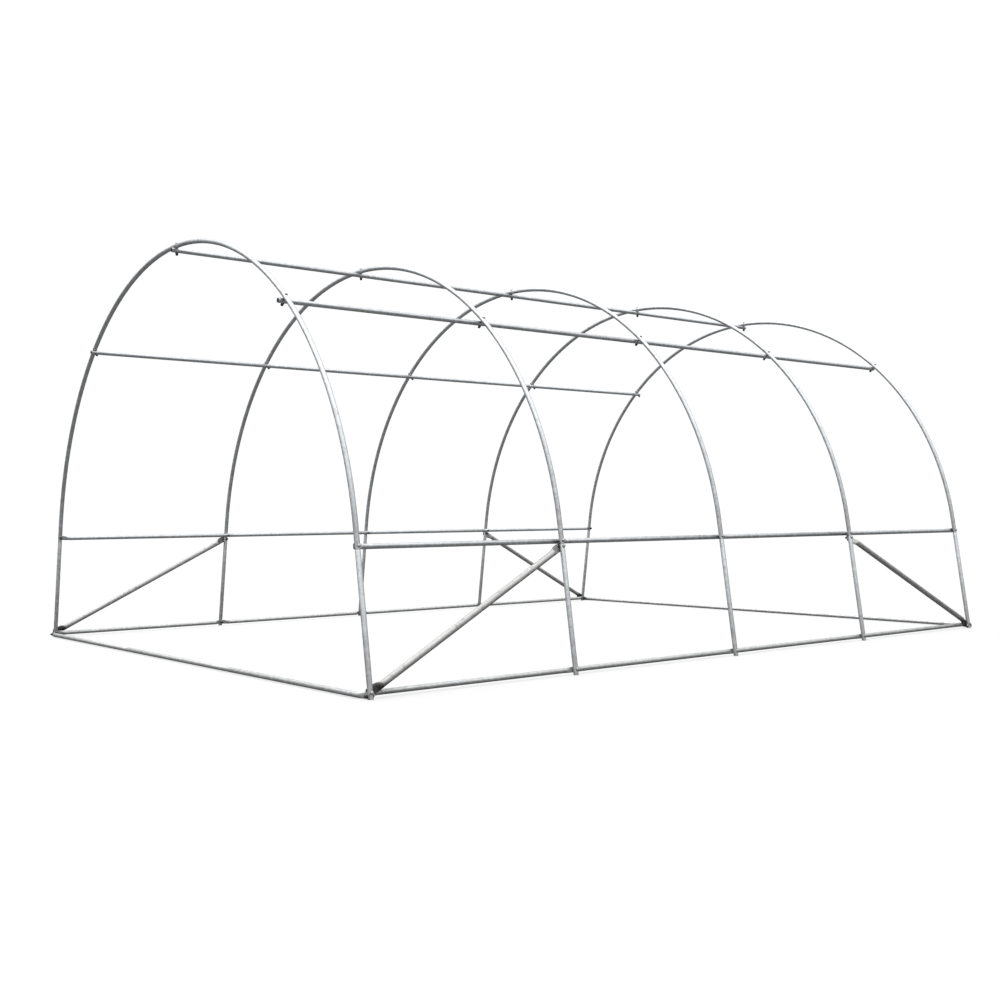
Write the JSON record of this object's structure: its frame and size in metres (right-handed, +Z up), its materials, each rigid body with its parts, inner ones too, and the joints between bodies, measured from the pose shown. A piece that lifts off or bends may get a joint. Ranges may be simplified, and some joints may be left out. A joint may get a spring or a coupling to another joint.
{
  "type": "bare polytunnel greenhouse frame",
  "caption": "Bare walk-in polytunnel frame: round-tube hoops on splayed legs, tied by base rails, hip rails, roof purlins and corner braces.",
  "frame": {"origin": "on the floor, in the middle of the tunnel's plan", "axes": "+Z up, +Y along the tunnel from the front end to the back end, +X to the right seen from the front"},
  "size_m": [3.0224, 3.8406, 1.8078],
  "materials": {
    "frame_tube": "galvanised, satin with a soft zinc bloom",
    "brace_tube": "bright galvanised",
    "bolt": "zinc plated",
    "bolt_cap": "black moulded cap"
  },
  "bodies": {
    "root": {"left_leg_1": "frame_tube", "left_leg_2": "frame_tube", "left_leg_3": "frame_tube", "left_leg_4": "frame_tube", "left_leg_5": "frame_tube", "right_leg_1": "frame_tube", "right_leg_2": "frame_tube", "right_leg_3": "frame_tube", "right_leg_4": "frame_tube", "right_leg_5": "frame_tube", "left_bow_1": "frame_tube", "left_bow_2": "frame_tube", "left_bow_3": "frame_tube", "left_bow_4": "frame_tube", "left_bow_5": "frame_tube", "right_bow_1": "frame_tube", "right_bow_2": "frame_tube", "right_bow_3": "frame_tube", "right_bow_4": "frame_tube", "right_bow_5": "frame_tube", "crown_bow_1": "frame_tube", "crown_bow_2": "frame_tube", "crown_bow_3": "frame_tube", "crown_bow_4": "frame_tube", "crown_bow_5": "frame_tube", "left_base_rail_1": "frame_tube", "left_base_rail_2": "frame_tube", "left_base_rail_3": "frame_tube", "left_base_rail_4": "frame_tube", "right_base_rail_1": "frame_tube", "right_base_rail_2": "frame_tube", "right_base_rail_3": "frame_tube", "right_base_rail_4": "frame_tube", "front_base_rail": "frame_tube", "back_base_rail": "frame_tube", "left_hip_rail": "frame_tube", "right_hip_rail": "frame_tube", "left_purlin": "frame_tube", "ridge_purlin": "frame_tube", "right_purlin": "frame_tube", "front_left_brace": "brace_tube", "front_right_brace": "brace_tube", "back_left_brace": "brace_tube", "back_right_brace": "brace_tube"}
  },
  "joints": []
}
